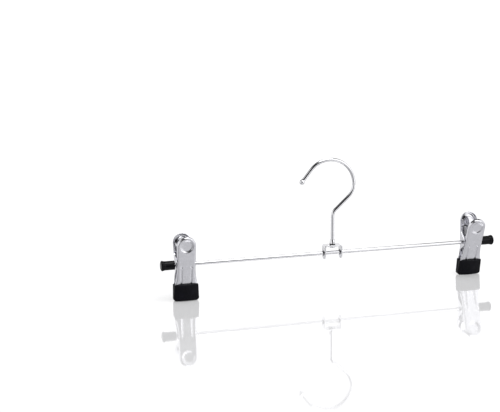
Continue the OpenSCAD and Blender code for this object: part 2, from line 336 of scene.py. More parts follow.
def pressed_chrome(finish, place):
    """Plated pressed sheet: brushed satin outside, bright inside and on the ears."""
    normal = finish.parts(finish.add("ShaderNodeTexCoord").out("Normal"))
    outward = finish.add("ShaderNodeMath", {"operation": "SIGN"}, {0: finish.parts(place).out("Y")})
    inside = finish.smooth(outward * normal.out("Y"), 0.05, -0.25)
    ear = finish.smooth(abs(normal.out("X")), 0.75, 0.97)
    bright = finish.add("ShaderNodeMath", {"operation": "MAXIMUM"}, {0: inside, 1: ear})
    cloud = finish.noise(place, 160.0, 3.0, 0.6)
    peel = finish.noise(place, 1500.0, 3.0, 0.6)
    brushed = finish.vector("MULTIPLY", place, (1.0, 1.0, 0.12))
    marks = finish.smooth(finish.noise(brushed, 3200.0, 2.0), 0.63, 0.72)
    tone = cloud * 0.35 + peel * 0.65
    colour = finish.blend_colours(tone, grey(0.53, 0.05), grey(0.90, 0.05))
    satin = finish.smooth(cloud, 0.3, 0.7, 0.17, 0.25) + marks * 0.08
    height = peel * 0.12 + cloud * 0.25 - marks * 0.12
    return {
        "Base Color": finish.blend_colours(marks * 0.35, colour, grey(0.42)),
        "Metallic": 1.0,
        "Roughness": satin * (1.0 - bright * 0.75),
        "Normal": finish.bump(0.16, 0.08, height),
    }


def spring_wire(finish, place):
    """Drawn spring steel: greyer, with die lines and a little dark scale."""
    drawn = finish.vector("MULTIPLY", place, (1.0, 6.0, 6.0))
    lines = finish.noise(drawn, 1200.0, 3.0, 0.7)
    scale = finish.smooth(finish.noise(place, 420.0, 3.0), 0.5, 0.72)
    return {
        "Base Color": finish.blend_colours(scale, grey(0.5, 0.01), grey(0.3)),
        "Metallic": 1.0,
        "Roughness": finish.smooth(lines, 0.3, 0.7, 0.22, 0.36) + scale * 0.1,
        "Normal": finish.bump(0.3, 0.05, lines),
    }


def boot_rubber(finish, place):
    """Moulded rubber of the jaw covers: matt, with a fine grain and rubbed patches."""
    grain = finish.noise(place, 2400.0, 3.0, 0.6)
    rubbed = finish.smooth(finish.noise(place, 150.0, 3.0, 0.6), 0.45, 0.7)
    return {
        "Base Color": finish.blend_colours(rubbed, grey(0.0024, 1.0), grey(0.0046, 1.0)),
        "Roughness": finish.smooth(grain, 0.3, 0.7, 0.46, 0.6) - rubbed * 0.07,
        "Specular IOR Level": 0.15,
        "Normal": finish.bump(0.35, 0.06, grain),
    }


def cap_vinyl(finish, place):
    """Dipped vinyl of the end caps: smoother and glossier, with slow waves from dipping."""
    dipped = finish.vector("MULTIPLY", place, (0.4, 1.0, 1.0))
    waves = finish.noise(dipped, 420.0, 2.0)
    dust = finish.smooth(finish.noise(place, 3000.0, 2.0), 0.64, 0.76)
    return {
        "Base Color": finish.blend_colours(dust, grey(0.0028, 0.6), grey(0.010)),
        "Roughness": finish.smooth(waves, 0.3, 0.7, 0.1, 0.24) + dust * 0.2,
        "Specular IOR Level": 0.14,
        "Normal": finish.bump(0.4, 0.2, waves),
    }


WIRE_CHROME = surface("drawn_chrome", drawn_chrome)
COLLAR_CHROME = surface("collar_chrome", collar_chrome)
BRACKET_CHROME = surface("bracket_chrome", bracket_chrome)
SHEET_CHROME = surface("pressed_chrome", pressed_chrome)
SPRING_STEEL = surface("spring_wire", spring_wire)
BOOT_RUBBER = surface("boot_rubber", boot_rubber)
CAP_VINYL = surface("cap_vinyl", cap_vinyl)


# ---- Shaping ----


def smoothstep(low, high, value):
    """0 up to low, 1 from high on, and a soft rise between them."""
    t = min(max((value - low) / (high - low), 0.0), 1.0)
    return t * t * (3.0 - 2.0 * t)


def spread(start, end, count):
    """Evenly spaced numbers, with both ends."""
    return [start + (end - start) * i / (count - 1) for i in range(count)]


def arc(centre, radius, start, end, count):
    """Points on an arc in a plane, from one angle to another."""
    u, v = centre
    return [(u + radius * math.cos(a), v + radius * math.sin(a)) for a in spread(start, end, count)]


def hump(share):
    """A soft hump: 1 at 0, falling to 0 at 1."""
    return 0.5 * (1 + math.cos(math.pi * share))


def piece_object(name, points, faces, place=Matrix()):
    """An object from points in millimetres, put in its place on the hanger."""
    mesh = bpy.data.meshes.new(name)
    mesh.from_pydata([MM * (place @ Vector(p)) for p in points], [], faces)
    mesh.validate()
    piece = bpy.data.objects.new(name, mesh)
    bpy.context.scene.collection.objects.link(piece)
    return piece


def face_outwards(piece, direction=None):
    """Turns all faces out of the solid, or an open skin towards a direction."""
    shape = bmesh.new()
    shape.from_mesh(piece.data)
    bmesh.ops.remove_doubles(shape, verts=shape.verts, dist=1e-7)
    bmesh.ops.recalc_face_normals(shape, faces=shape.faces)
    if direction is not None:
        facing = sum((f.normal.dot(direction) * f.calc_area() for f in shape.faces), 0.0)
        if facing < 0.0:
            bmesh.ops.reverse_faces(shape, faces=shape.faces)
    shape.to_mesh(piece.data)
    shape.free()


def apply_modifiers(piece):
    """Makes the piece's own mesh out of what its modifiers show."""
    bpy.context.view_layer.update()
    done = piece.evaluated_get(bpy.context.evaluated_depsgraph_get())
    plain = piece.data
    piece.data = bpy.data.meshes.new_from_object(done)
    piece.modifiers.clear()
    bpy.data.meshes.remove(plain)
    piece.data.name = piece.name


def smooth_faces(piece, sharp):
    """Smooth shading, apart from edges that bend more than the sharp angle."""
    piece.data.polygons.foreach_set("use_smooth", [True] * len(piece.data.polygons))
    piece.data.set_sharp_from_angle(angle=sharp)


def harden(piece, thickness=0.0, edge=0.0, sharp=HARD_EDGE):
    """Gives a skin its sheet thickness inwards, rounds its edges and smooths its faces."""
    if thickness:
        sheet = piece.modifiers.new("sheet", "SOLIDIFY")
        sheet.thickness = thickness * MM
        sheet.offset = -1.0
        sheet.use_even_offset = True
        sheet.use_quality_normals = True
    if edge:
        rounding = piece.modifiers.new("edge", "BEVEL")
        rounding.width = edge * MM
        rounding.segments = 2
        rounding.limit_method = "ANGLE"
        rounding.angle_limit = ROUNDED_EDGE
        rounding.use_clamp_overlap = False
    if piece.modifiers:
        apply_modifiers(piece)
    smooth_faces(piece, sharp)


def even_shading(piece):
    """Keeps flat faces flat in the light, up to the rounding of their edges."""
    smooth_faces(piece, SOFT_EDGE)
    shading = piece.modifiers.new("shading", "WEIGHTED_NORMAL")
    shading.keep_sharp = True
    apply_modifiers(piece)


def dress(piece, finish, node, body):
    """Gives a piece its finish, lets it stand for its solid and ride on a body, if one is named."""
    piece.data.materials.clear()
    piece.data.materials.append(finish)
    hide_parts(node)
    if body:
        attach(piece, body)


def turned(name, profile, place, sides=64):
    """A piece turned from a profile of radius and height."""
    points, faces, rings = [], [], []
    for radius, height in profile:
        if radius < 1e-6:
            rings.append([len(points)])
            points.append((0.0, 0.0, height))
            continue
        rings.append(list(range(len(points), len(points) + sides)))
        for i in range(sides):
            angle = 2.0 * math.pi * i / sides
            points.append((radius * math.cos(angle), radius * math.sin(angle), height))
    for low, high in zip(rings, rings[1:]):
        for i in range(sides):
            j = (i + 1) % sides
            corners = [low[i % len(low)], low[j % len(low)], high[j % len(high)], high[i % len(high)]]
            faces.append([c for k, c in enumerate(corners) if c not in corners[:k]])
    piece = piece_object(name, points, faces, place)
    face_outwards(piece)
    return piece


def swept(name, line, ups, radii, sides, place=Matrix()):
    """Round wire along a line, with a radius at each point and closed ends."""
    points, faces = [], []
    last = len(line) - 1
    for i, (at, up, radius) in enumerate(zip(line, ups, radii)):
        along = (line[min(i + 1, last)] - line[max(i - 1, 0)]).normalized()
        up = (up - up.dot(along) * along).normalized()
        across = along.cross(up)
        for k in range(sides):
            angle = 2.0 * math.pi * k / sides
            points.append(at + radius * (math.cos(angle) * up + math.sin(angle) * across))
    for i in range(last):
        for k in range(sides):
            n = (k + 1) % sides
            faces.append([i * sides + k, i * sides + n, (i + 1) * sides + n, (i + 1) * sides + k])
    faces.append(list(range(sides)))
    faces.append([last * sides + k for k in range(sides)])
    piece = piece_object(name, points, faces, place)
    face_outwards(piece)
    return piece


# ---- Hook, collar, bracket, bar and caps ----


def hook_line():
    """The wire's centre line in X and Z, from the foot to the ball's end."""
    crown = (-CROWN_SHIFT, -math.sqrt((CROWN_RADIUS - WIRE_RADIUS) ** 2 - CROWN_SHIFT**2))
    turn = (crown[0] + CROWN_RADIUS - TURN_RADIUS, crown[1])
    turn_end = (turn[0] + TURN_RADIUS * math.sin(SLANT), turn[1] - TURN_RADIUS * math.cos(SLANT))
    corner = turn_end[1] - turn_end[0] * math.tan(SLANT)
    neck = (NECK_RADIUS, corner - NECK_RADIUS * math.tan((math.pi / 2 - SLANT) / 2))
    foot = -BAR_DROP + BRACKET_RISE - BRACKET_SHEET - SWIVEL_PLAY - FOOT_HEIGHT
    line = [(0.0, z) for z in spread(foot, foot + 3 * FOOT_HEIGHT, 25)]
    line += [(0.0, z) for z in spread(foot + 3 * FOOT_HEIGHT, neck[1], 8)[1:-1]]
    line += arc(neck, NECK_RADIUS, math.pi, math.pi / 2 + SLANT, 14)
    start, end = line[-1], turn_end
    line += [tuple(a + (b - a) * t for a, b in zip(start, end)) for t in (0.2, 0.4, 0.6, 0.8)]
    line += arc(turn, TURN_RADIUS, SLANT - math.pi / 2, 0.0, 26)
    line += arc(crown, CROWN_RADIUS, 0.0, TIP_ANGLE, 70)[1:]
    run = (-math.sin(TIP_ANGLE), math.cos(TIP_ANGLE))
    start = line[-1]
    lengths = spread(0.0, TIP_LENGTH - 2 * BALL_RADIUS, 8)[1:]
    lengths += spread(TIP_LENGTH - 2 * BALL_RADIUS, TIP_LENGTH, 12)[1:]
    lengths += [TIP_LENGTH + BALL_RADIUS * math.sin(a) for a in spread(0.0, math.pi / 2, 14)[1:]]
    line += [(start[0] + run[0] * s, start[1] + run[1] * s) for s in lengths]
    return [Vector((x, 0.0, z)) for x, z in line]


def hook_radius(from_foot, from_end):
    """The wire's radius: upset at the foot, a ball at the free end."""
    if from_foot < FOOT_HEIGHT:
        inset = max(0.0, FOOT_ROUND - from_foot, FOOT_ROUND - (FOOT_HEIGHT - from_foot))
        return FOOT_RADIUS - FOOT_ROUND + math.sqrt(max(0.0, FOOT_ROUND**2 - inset**2))
    ball = BALL_RADIUS**2 - (BALL_RADIUS - from_end) ** 2
    if from_end < BALL_RADIUS:
        return math.sqrt(max(ball, BALL_TIP**2))
    swell = math.sqrt(max(ball, 0.0))
    fillet = BALL_FILLET * math.exp(-(((from_end - BALL_FILLET_AT) / BALL_FILLET_WIDTH) ** 2))
    return max(WIRE_RADIUS, swell) + (fillet if swell < WIRE_RADIUS + 0.2 else 0.0)


def hook_wire():
    """The hook: one wire, upset at its foot and with a ball on its free end."""
    line = hook_line()
    run = [0.0]
    for a, b in zip(line, line[1:]):
        run.append(run[-1] + (b - a).length)
    radii = [hook_radius(s, run[-1] - s) for s in run]
    piece = swept("hook_wire", line, [Vector((0, 1, 0))] * len(line), radii, sides=32)
    harden(piece)
    dress(piece, WIRE_CHROME, "hook_wire", "hook")


def swivel_collar():
    """The cone round the shank, with a soft lower edge."""
    bore, soft = WIRE_RADIUS + SNUG, COLLAR_ROUND
    profile = [(bore, 0.0), (COLLAR_RADIUS - soft, 0.0)]
    profile += arc((COLLAR_RADIUS - soft, soft), soft, -math.pi / 2, 0.0, 4)[1:]
    profile += [(COLLAR_RADIUS, COLLAR_FOOT - 0.1), (COLLAR_RADIUS - 0.02, COLLAR_FOOT + 0.1)]
    profile += [(COLLAR_TOP_RADIUS + 0.01, COLLAR_HEIGHT - soft)]
    profile += [(COLLAR_TOP_RADIUS - 0.04, COLLAR_HEIGHT - 0.05)]
    profile += [(COLLAR_TOP_RADIUS - soft, COLLAR_HEIGHT), (bore, COLLAR_HEIGHT), (bore, 0.0)]
    seat = -BAR_DROP + BRACKET_RISE + SWIVEL_PLAY
    piece = turned("swivel_collar", profile, Matrix.Translation((0, 0, seat)))
    harden(piece)
    dress(piece, COLLAR_CHROME, "swivel_collar", "hook")


def hole_border(centre, radius, count):
    """The edge of a round hole, and the line round it where the border ends."""
    return [arc(centre, r, 0.0, 2 * math.pi, count + 1)[:-1] for r in (radius, radius + BORDER)]


def border_faces(shape, borders):
    """Even faces between each border's edge and its line. Returns the lines' edges."""
    edges = []
    for edge, line in borders:
        for i in range(len(edge)):
            shape.faces.new((edge[i - 1], edge[i], line[i], line[i - 1]))
            edges.append(shape.edges.get((line[i - 1], line[i])))
    return edges


def flat_sheet(outline, holes, cuts):
    """A flat sheet with round holes, scored along lines so that it can be bent.

    The outline is a border too: the sheet's edge, and the line along it."""
    shape = bmesh.new()
    borders = [outline] + [hole_border((u, v), r, 48) for u, v, r in holes]
    borders = [[[shape.verts.new((u, v, 0.0)) for u, v in loop] for loop in pair] for pair in borders]
    edges = border_faces(shape, borders)
    bmesh.ops.triangle_fill(shape, use_beauty=True, use_dissolve=False, edges=edges)
    for u in cuts:
        everything = list(shape.verts) + list(shape.edges) + list(shape.faces)
        bmesh.ops.bisect_plane(shape, geom=everything, plane_co=(u, 0, 0), plane_no=(1, 0, 0))
    shape.verts.index_update()
    points = [tuple(v.co) for v in shape.verts]
    faces = [[v.index for v in f.verts] for f in shape.faces]
    shape.free()
    return points, faces


def bracket():
    """The saddle: a strip with round ends, bent twice, with three holes."""
    top_half = BRACKET_HALF - BRACKET_BEND
    bend = BRACKET_BEND * math.pi / 2
    leg = BRACKET_RISE - BRACKET_BEND + BRACKET_LOW + BRACKET_DEPTH / 2
    half = top_half + bend + leg
    radius = BRACKET_DEPTH / 2
    outline = []
    for r in (radius, radius - BORDER):
        right_end = arc((half - radius, 0.0), r, -math.pi / 2, math.pi / 2, 25)
        outline.append(right_end + arc((radius - half, 0.0), r, math.pi / 2, 3 * math.pi / 2, 25))
    hole = half - radius - BRACKET_LOW
    holes = [(hole, 0.0, BAR_RADIUS + SNUG), (-hole, 0.0, BAR_RADIUS + SNUG), (0.0, 0.0, BORE_RADIUS)]
    cuts = [s * u for s in (-1, 1) for u in spread(top_half, top_half + bend, 11)]
    points, faces = flat_sheet(outline, holes, cuts)

    def bent(u, v):
        s, along = (-1 if u < 0 else 1), abs(u)
        if along <= top_half:
            return (u, v, BRACKET_RISE)
        if along < top_half + bend:
            angle = (along - top_half) / BRACKET_BEND
            x = top_half + BRACKET_BEND * math.sin(angle)
            return (s * x, v, BRACKET_RISE - BRACKET_BEND * (1 - math.cos(angle)))
        return (s * BRACKET_HALF, v, BRACKET_RISE - BRACKET_BEND - (along - top_half - bend))

    bent_points = [bent(u, v) for u, v, _ in points]
    piece = piece_object("bracket", bent_points, faces, Matrix.Translation((0, 0, -BAR_DROP)))
    face_outwards(piece, Vector((0, 0, 1)))
    harden(piece, thickness=BRACKET_SHEET, edge=BRACKET_EDGE)
    even_shading(piece)
    dress(piece, BRACKET_CHROME, "bracket", "frame")


def bar():
    """The round rod, with chamfered ends inside the caps."""
    half, chamfer = BAR_LENGTH / 2, BAR_CHAMFER
    profile = [(0.0, -half), (BAR_RADIUS - chamfer, -half), (BAR_RADIUS, chamfer - half)]
    profile += [(BAR_RADIUS, z) for z in spread(-half + 1.0, half - 1.0, 40)]
    profile += [(BAR_RADIUS, half - chamfer), (BAR_RADIUS - chamfer, half), (0.0, half)]
    place = Matrix.Translation((0, 0, -BAR_DROP)) @ Matrix.Rotation(math.pi / 2, 4, "Y")
    piece = turned("bar", profile, place, sides=48)
    harden(piece)
    dress(piece, WIRE_CHROME, "bar", "frame")


def end_cap(side):
    """A dipped cap: a sleeve with a soft lip, and a rolled ring round its closed end."""
    bore, lip, ring = BAR_RADIUS + SNUG, CAP_LIP, CAP_RING
    profile = [(0.0, CAP_LENGTH - CAP_END), (bore, CAP_LENGTH - CAP_END), (bore, 0.5), (bore + 0.25, 0.08)]
    profile += [(bore + 0.6, 0.0), (CAP_RADIUS - lip, 0.0)]
    profile += arc((CAP_RADIUS - lip, lip), lip, -math.pi / 2, 0.0, 6)[1:]
    profile += [(CAP_RADIUS, h) for h in spread(1.2, CAP_LENGTH - 3.5, 6)]
    profile += [(CAP_RADIUS + 0.05, CAP_LENGTH - 3.2), (CAP_RADIUS + 0.2, CAP_LENGTH - 2.95)]
    centre = (CAP_ROLL_RADIUS - ring, CAP_LENGTH - ring - 0.05)
    profile += arc(centre, ring, math.radians(-48), math.radians(78), 14)
    profile += [(2.2, CAP_LENGTH - 0.1), (1.2, CAP_LENGTH - 0.02), (0.0, CAP_LENGTH)]
    name = SIDE_NAMES[side] + "_end_cap"
    place = Matrix.Translation((side * (OVERALL_LENGTH / 2 - CAP_LENGTH), 0, -BAR_DROP))
    piece = turned(name, profile, place @ Matrix.Rotation(side * math.pi / 2, 4, "Y"))
    harden(piece, sharp=CAP_EDGE)
    dress(piece, CAP_VINYL, name, "frame")


# ---- Clips ----


def clip_place(side, half):
    """Where a clip's front, or the same turned to its rear, sits on the bar."""
    place = Matrix.Translation((side * CLIP_X, 0, -BAR_DROP)) @ Matrix.Rotation(CLIP_LEAN[side], 4, "X")
    return place @ Matrix.Rotation(math.pi, 4, "Z") if half == REAR else place


# A plate in its clip, its cover in the clip, and the bar in the plate's own frame
PLATE_PLACE = Matrix.Translation((0, -WAIST_OUT, 0)) @ Matrix.Rotation(PLATE_LEAN, 4, "X")
SHOULDER_Y = -WAIST_OUT + SHOULDER * math.sin(PLATE_LEAN)
SHOULDER_Z = -SHOULDER * math.cos(PLATE_LEAN)
COVER_PLACE = Matrix.Translation((0, SHOULDER_Y, SHOULDER_Z)) @ Matrix.Rotation(COVER_LEAN, 4, "X")
PIVOT_Y = WAIST_OUT * math.cos(PLATE_LEAN)
PIVOT_Z = -WAIST_OUT * math.sin(PLATE_LEAN)


def plate_half_width(z):
    """Half the plate's width at a height along it: straight sides, then the jaw's flare."""
    if z >= FLARE_FROM:
        return PLATE_HALF
    if z < -SHOULDER:
        return TONGUE_HALF + (JAW_HALF - TONGUE_HALF) * (1 - smoothstep(0.0, 0.5, -SHOULDER - z))
    widening = JAW_HALF - PLATE_HALF
    drop = SHOULDER + FLARE_FROM
    radius = (drop**2 + widening**2) / (2 * widening)
    return PLATE_HALF + radius - math.sqrt(radius**2 - (FLARE_FROM - z) ** 2)


def pressing(x, z):
    """Depth of the pad, dimples, grooves and jaw's crown below the plate's outer face."""
    from_pad = math.hypot(x, z - PAD_UP)
    slope = smoothstep(PAD_RADIUS - PAD_SLOPE_INSIDE, PAD_RADIUS + PAD_SLOPE_OUTSIDE, from_pad)
    depth = PAD_DEPTH * (1 - slope)
    from_dimple = math.hypot(abs(x) - DIMPLE_X, z - PIVOT_Z)
    if from_dimple < DIMPLE_RADIUS:
        depth += DIMPLE_DEPTH * hump(from_dimple / DIMPLE_RADIUS)
    from_groove = abs(abs(x) - DIMPLE_X)
    if from_groove < GROOVE_HALF and z > -SHOULDER - PRESSING_RUNOUT:
        start = PIVOT_Z - GROOVE_FROM_DIMPLE
        run = 1 - smoothstep(start - 0.7, start + 0.5, z)
        deeper = 1.0 + GROOVE_DEEPER * (1 - smoothstep(-SHOULDER, -SHOULDER + 6.0, z))
        fade = smoothstep(-SHOULDER - PRESSING_RUNOUT, -SHOULDER - 1.0, z)
        depth += GROOVE_DEPTH * deeper * run * fade * hump(from_groove / GROOVE_HALF)
    crown = JAW_CROWN * (1 - smoothstep(-SHOULDER, JAW_CROWN_FROM, z))
    crown *= smoothstep(-SHOULDER - PRESSING_RUNOUT, -SHOULDER, z)
    return depth - crown * (1 - (x / JAW_HALF) ** 2)


def edge_drop(inset):
    """How far the rolled edge has turned in at a distance from the plate's outline."""
    if inset >= EDGE_BEND:
        return 0.0
    return EDGE_BEND - math.sqrt(max(0.0, EDGE_BEND**2 - (EDGE_BEND - inset) ** 2))


def edge_share(z):
    """How much of the edge's roll is left at a height: none where the plate enters its cover."""
    return smoothstep(-SHOULDER, -SHOULDER + EDGE_RUNOUT, z)


def plate_skin(ears_outside):
    """The pressed plate's outer skin with its rolled rim, in the plate's own frame.

    Returns its points, its faces, its lowest row, and on each side the points that an ear
    grows from and the end of the rim."""
    points, faces, index = [], [], {}

    def point(x, y, z):
        key = (round(x, 4), round(y, 4), round(z, 4))
        if key not in index:
            index[key] = len(points)
            points.append((x, y, z))
        return index[key]

    # Columns, rings and rows are closest where the edge rolls and where the pad's slope, the
    # dimples and the grooves are pressed
    roll = [EDGE_BEND * (1 - math.sin(math.radians(a))) for a in (90, 72, 54, 36, 18, 0)]
    inner = [6.4, 6.0, 5.6, 5.3, 5.0, 4.75, 4.5, 4.3, 4.1, 3.85, 3.6, 3.3, 3.0, 2.4, 1.6, 0.8]
    half_columns = [PLATE_HALF - d for d in roll] + inner
    columns = [-x for x in half_columns] + [0.0] + half_columns[::-1]

    # Head: rings round the pad that grow from circles into the head's outline
    corner = len(columns) - 1
    outline = [(x, -PLATE_HALF) for x in columns]
    outline += [(PLATE_HALF, z) for z in spread(-PLATE_HALF, 0.0, 16)[1:]]
    outline += arc((0, 0), PLATE_HALF, 0.0, math.pi, 61)[1:]
    outline += [(-PLATE_HALF, z) for z in spread(0.0, -PLATE_HALF, 16)[1:-1]]
    rings = []
    for radius in (1.8, 3.2, 3.8, 4.1, 4.4, 4.7, 5.0, 5.25, 5.5, 5.75, 6.0, 6.2):
        rings.append([(radius * x / math.hypot(x, z), radius * z / math.hypot(x, z)) for x, z in outline])
    first = 1 - EDGE_BEND / PLATE_HALF
    last_round = rings[-1]
    for t in (0.35, 0.7):
        pairs = zip(last_round, outline)
        rings.append([(a + (first * x - a) * t, b + (first * z - b) * t) for (a, b), (x, z) in pairs])
    for d in roll[::-1]:
        scale = 1 - d / PLATE_HALF
        rings.append([(scale * x, scale * z) for x, z in outline])

    def head_point(x, z):
        inset = PLATE_HALF - (math.hypot(x, z) if z > 0 else abs(x))
        return point(x, pressing(x, z + PAD_UP) + edge_drop(inset), z + PAD_UP)

    head = [[head_point(x, z) for x, z in ring] for ring in rings]
    middle = point(0.0, pressing(0.0, PAD_UP), PAD_UP)
    count = len(outline)
    for i in range(count):
        faces.append([middle, head[0][i], head[0][(i + 1) % count]])
    for low, high in zip(head, head[1:]):
        for i in range(count):
            j = (i + 1) % count
            faces.append([low[i], high[i], high[j], low[j]])

    # Body and jaw: rows from the head down to the shoulder
    heights = [EAR_TOP, 7.2, 6.4, 5.7, RIM_FROM, 4.6, 4.1, 3.4, 2.6, 1.7, 0.8, 0.1]
    from_dimple = (1.05, 0.85, 0.65, 0.45, 0.22)
    heights += [PIVOT_Z + d for d in from_dimple] + [PIVOT_Z] + [PIVOT_Z - d for d in from_dimple[::-1]]
    heights += [-2.6, -2.9, -3.2, -3.5, -3.8, -4.2, -4.8, -5.5, -6.1, -6.8, -7.5, -8.3, OUTER_EAR_LOW]
    heights += [-9.8, -10.8, -11.8, -13.0, -14.2, -15.3, -16.2, -16.9, -SHOULDER]
    rows = [head[-1][: len(columns)]]
    for z in heights:
        half, share = plate_half_width(z), edge_share(z)
        row = []
        for column in columns:
            x, past = column, abs(column) - EVEN_COLUMNS_HALF
            if past > 0.0:
                stretch = (half - EVEN_COLUMNS_HALF) / (PLATE_HALF - EVEN_COLUMNS_HALF)
                x = math.copysign(EVEN_COLUMNS_HALF + past * stretch, column)
            drop = edge_drop(PLATE_HALF - abs(column)) * share
            row.append(point(x, pressing(column, z) + drop, z))
        rows.append(row)
    for high, low in zip(rows, rows[1:]):
        for i in range(len(columns) - 1):
            faces.append([high[i], low[i], low[i + 1], high[i + 1]])

    # Rim: the rolled edge goes on inwards round the head, down to the ears
    rim_low, most_cut_back = (EAR_TOP, 0.0) if ears_outside else (RIM_FROM, RIM_CUT_BACK)
    left_side = [row[0] for row, z in zip(rows[1:], heights) if z >= rim_low][::-1]
    right_side = [row[-1] for row, z in zip(rows[1:], heights) if z >= rim_low]
    round_head = head[-1][corner:] + [head[-1][0]]
    chain = left_side + round_head[::-1] + right_side
    walls = [chain]
    for depth in (1.9, 2.5, RIM_DEPTH):
        wall = []
        for c in chain:
            x, _, z = points[c]
            cut_back = most_cut_back * (1 - smoothstep(RIM_FROM, RIM_FROM + 2.0, z))
            wall.append(point(x, depth - (depth - EDGE_BEND) * cut_back, z))
        walls.append(wall)
    for low, high in zip(walls, walls[1:]):
        for i in range(len(chain) - 1):
            faces.append([low[i], low[i + 1], high[i + 1], high[i]])
    ends = {LEFT: [wall[0] for wall in walls], RIGHT: [wall[-1] for wall in walls]}
    sides = {
        LEFT: [row[0] for row, z in zip(rows[1:], heights) if OUTER_EAR_LOW <= z <= EAR_TOP],
        RIGHT: [row[-1] for row, z in zip(rows[1:], heights) if OUTER_EAR_LOW <= z <= EAR_TOP],
    }
    return points, faces, rows[-1], sides, ends


def ear_rim(low_root, top_root):
    """The ear's outline in depth and height: straight from each root, round the bar between them."""

    def touch(root, turn):
        run = (root[0] - PIVOT_Y, root[1] - PIVOT_Z)
        return math.atan2(run[1], run[0]) + turn * math.acos(EAR_RADIUS / math.hypot(*run))

    def between(a, b, count):
        return [(a[0] + (b[0] - a[0]) * t, a[1] + (b[1] - a[1]) * t) for t in spread(0.0, 1.0, count)]

    low, top = touch(low_root, 1), touch(top_root, -1)
    rounded = arc((PIVOT_Y, PIVOT_Z), EAR_RADIUS, low, top, 24)
    return between(low_root, rounded[0], 6)[:-1] + rounded + between(rounded[-1], top_root, 6)[1:]


def fill_ear(points, faces, rim, roots, x):
    """Adds a flat ear with its bore; roots are the points of the sheet that it grows from."""
    shape = bmesh.new()
    known = {}
    loop = []
    for root in roots:
        y, z = points[root][1], points[root][2]
        vert = shape.verts.new((y, z, 0.0))
        known[vert] = root
        loop.append(vert)
    loop += [shape.verts.new((y, z, 0.0)) for y, z in rim]
    bore = hole_border((PIVOT_Y, PIVOT_Z), BORE_RADIUS, 40)
    edges = border_faces(shape, [[[shape.verts.new((y, z, 0.0)) for y, z in ring] for ring in bore]])
    edges += [shape.edges.new((a, b)) for a, b in zip(loop, loop[1:] + loop[:1])]
    bmesh.ops.triangle_fill(shape, use_beauty=True, use_dissolve=False, edges=edges)
    for vert in shape.verts:
        if vert not in known:
            known[vert] = len(points)
            points.append((x, vert.co.x, vert.co.y))
    for face in shape.faces:
        faces.append([known[v] for v in face.verts])
    shape.free()


def clip_plate(side, half):
    """A pressed plate with rim, pad, dimples, grooves, flared jaw, tongue and two ears."""
    ears_outside = half == REAR
    points, faces, jaw_row, sides, ends = plate_skin(ears_outside)
    if ears_outside:
        for ear_side in (LEFT, RIGHT):
            root, wall = sides[ear_side], ends[ear_side]
            low_root = points[root[-1]]
            rim = ear_rim((low_root[1] + 0.5, low_root[2]), (RIM_DEPTH, EAR_TOP))[:-1]
            roots = wall[::-1] + root[1:]
            fill_ear(points, faces, rim, roots, ear_side * PLATE_HALF)
    in_clip = [PLATE_PLACE @ Vector(p) for p in points]

    # Tongue: goes on from the jaw's last row, in line with the cover
    rows = [jaw_row]
    for down in (0.25, 0.6, 1.2, 2.2, 3.2, 5.0, 7.5, 9.8, TONGUE_LENGTH - 0.3):
        row = []
        for c in jaw_row:
            x = points[c][0] * plate_half_width(-SHOULDER - down) / JAW_HALF
            row.append(len(in_clip))
            in_clip.append(COVER_PLACE @ Vector((x, pressing(x, -SHOULDER - down), -down)))
        rows.append(row)
    for high, low in zip(rows, rows[1:]):
        for i in range(len(jaw_row) - 1):
            faces.append([high[i], low[i], low[i + 1], high[i + 1]])

    name = f"{SIDE_NAMES[side]}_{half}_plate"
    place = clip_place(side, half)
    piece = piece_object(name, in_clip, faces, place)
    face_outwards(piece, place.to_3x3() @ PLATE_PLACE.to_3x3() @ Vector((0, -1, 0)))
    harden(piece, thickness=PLATE_SHEET, edge=PLATE_EDGE)
    if not ears_outside:
        add_inner_ears(piece, place)
    even_shading(piece)
    dress(piece, SHEET_CHROME, name, f"{SIDE_NAMES[side]}_{half}_jaw")


def add_inner_ears(piece, place):
    """The front plate's two ears, which stand inside the rear plate's."""
    ears = []
    for ear_side in (LEFT, RIGHT):
        x = ear_side * (PLATE_HALF - PLATE_SHEET - EAR_GAP)
        points = [(x, PLATE_SHEET * 0.6, z) for z in spread(EAR_TOP, INNER_EAR_LOW, 6)]
        faces = []
        rim = ear_rim((2 * PLATE_SHEET, INNER_EAR_LOW), (RIM_DEPTH, EAR_TOP))
        fill_ear(points, faces, rim, list(range(len(points))), x)
        ear = piece_object("ear", [PLATE_PLACE @ Vector(p) for p in points], faces, place)
        face_outwards(ear, place.to_3x3() @ Vector((ear_side, 0, 0)))
        harden(ear, thickness=PLATE_SHEET, edge=PLATE_EDGE)
        ears.append(ear)
    shape = bmesh.new()
    for part in [piece] + ears:
        shape.from_mesh(part.data)
    shape.to_mesh(piece.data)
    shape.free()
    for ear in ears:
        bpy.data.objects.remove(ear)


